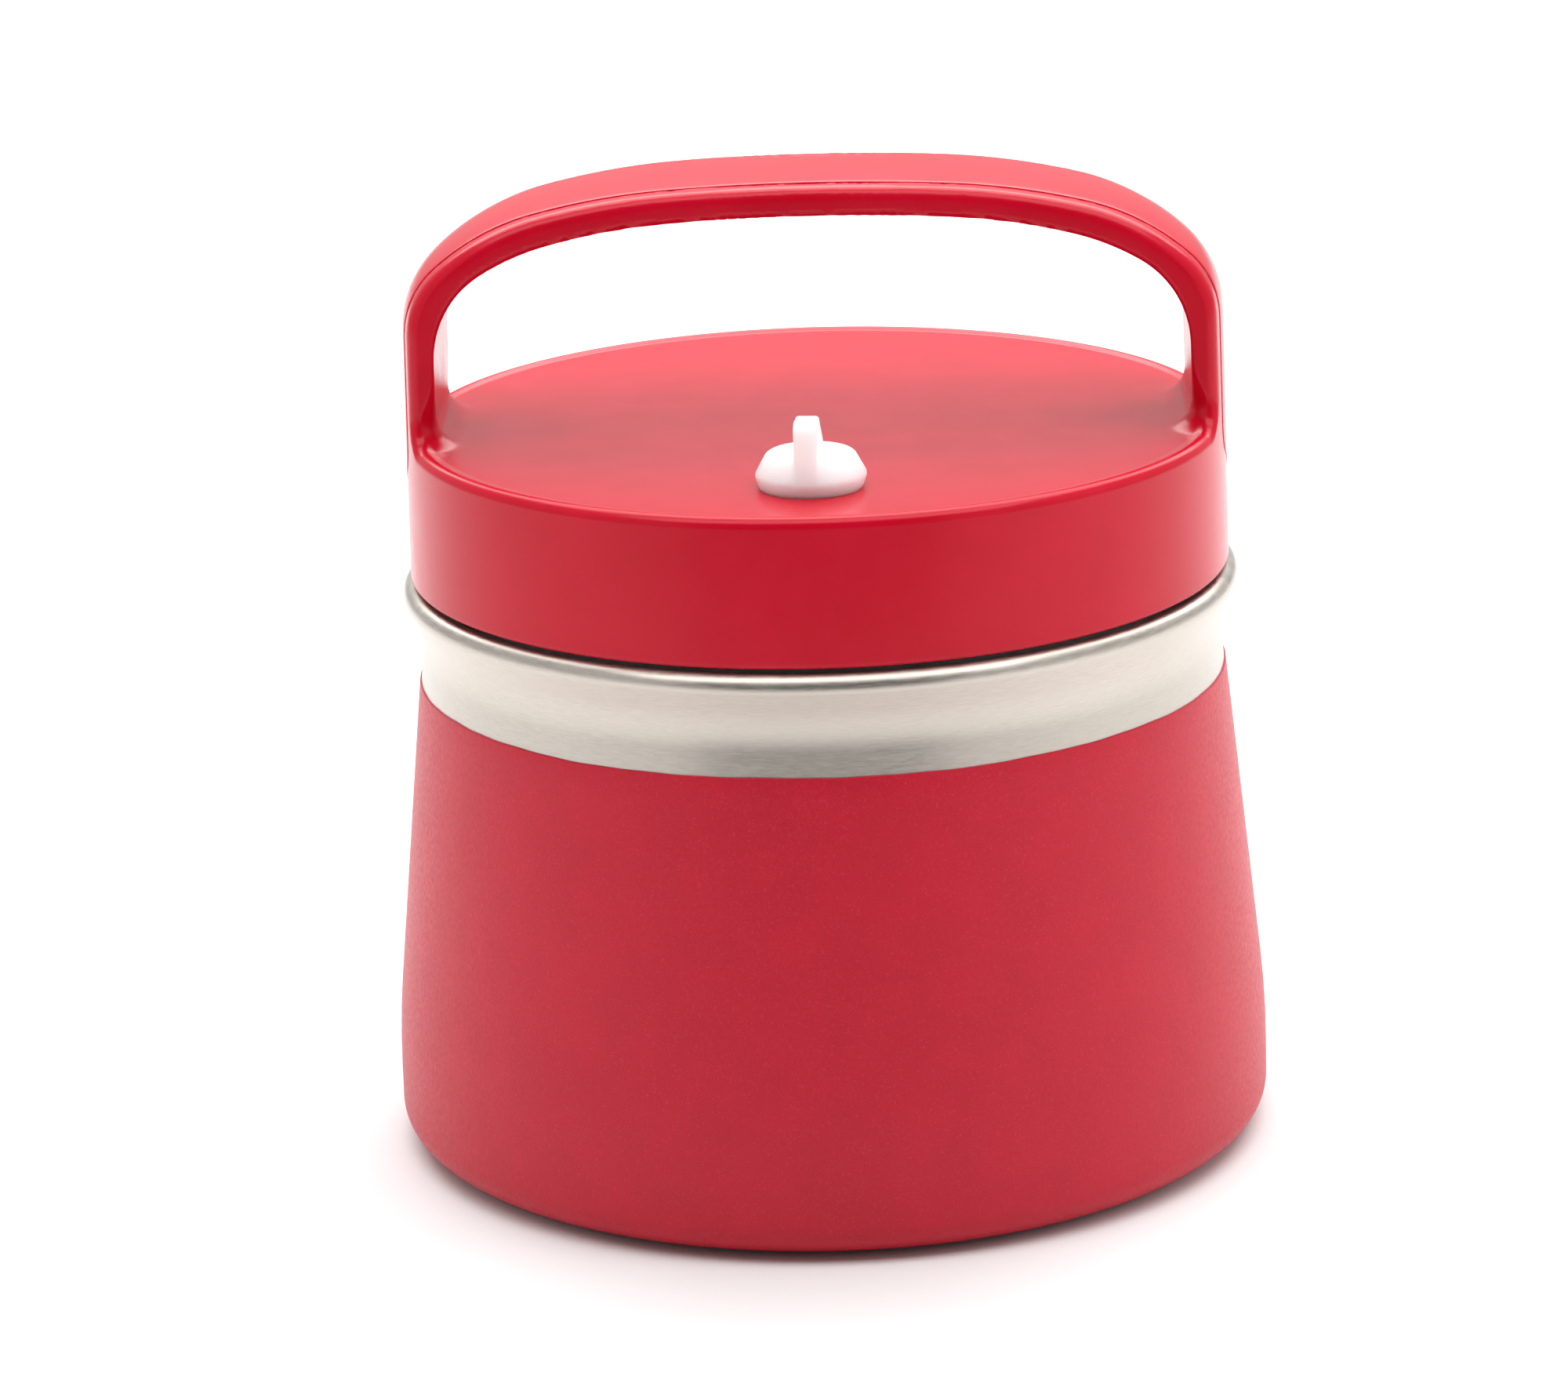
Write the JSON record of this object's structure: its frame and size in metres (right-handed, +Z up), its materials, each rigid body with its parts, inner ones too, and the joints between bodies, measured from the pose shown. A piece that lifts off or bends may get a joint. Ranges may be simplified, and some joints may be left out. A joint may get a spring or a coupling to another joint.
{
  "type": "insulated lunch jar",
  "caption": "Round double-walled steel lunch jar with flared sides, a screw lid with a fixed loop handle, and a pull-out vent plug.",
  "frame": {"origin": "centre of the base, on the surface the jar stands on", "axes": "+Z up through the jar and lid, -Y towards the front where the vent plug is, X along the handle's span"},
  "size_m": [0.15, 0.15, 0.1669],
  "materials": {
    "brushed_steel": "circumferentially brushed stainless steel",
    "red_powder": "satin red powder coat with a fine grain",
    "liner_steel": "satin electropolished stainless steel",
    "inner_steel": "plain mill-finish stainless steel",
    "copper_foil": "bright copper foil",
    "solder_glass": "dark fused solder glass",
    "getter_metal": "dull sintered metal",
    "pad_rubber": "matt grey silicone rubber",
    "red_plastic": "satin-gloss moulded red plastic",
    "strap_plastic": "satin red plastic, a little softer than the lid",
    "pan_plastic": "natural grey-white polypropylene",
    "lid_foam": "moulded bead foam",
    "gasket_silicone": "translucent white silicone",
    "white_silicone": "smooth white silicone"
  },
  "bodies": {
    "jar": {"outer_shell": "brushed_steel", "powder_coat": "red_powder", "inner_liner": "liner_steel", "liner_bottom": "liner_steel", "copper_foil": "copper_foil", "vacuum_bottom": "inner_steel", "port_seal": "solder_glass", "getter_pill": "getter_metal", "getter_clip": "inner_steel", "base_cap": "brushed_steel", "foot_pad": "pad_rubber"},
    "gasket": {"lid_gasket": "gasket_silicone"},
    "lid": {"lid_shell": "red_plastic", "handle_strap": "strap_plastic", "lid_pan": "pan_plastic", "lid_foam": "lid_foam"},
    "plug": {"vent_plug": "white_silicone"}
  },
  "joints": [
    {"name": "lid_rise", "type": "slide", "parent": "jar", "child": "gasket", "axis": [0, 0, 1], "range_m": [0, 0.024]},
    {"name": "lid_turn", "type": "hinge", "parent": "gasket", "child": "lid", "pos_m": [0, 0, 0.1], "axis": [0, 0, 1], "range_deg": [0, 720]},
    {"name": "vent_pull", "type": "slide", "parent": "lid", "child": "plug", "axis": [0, 0, 1], "range_m": [0, 0.014]}
  ],
  "couplings": [
    {"joint": "lid_rise", "follows": "lid_turn", "m_per_rad": 0.0019099}
  ]
}
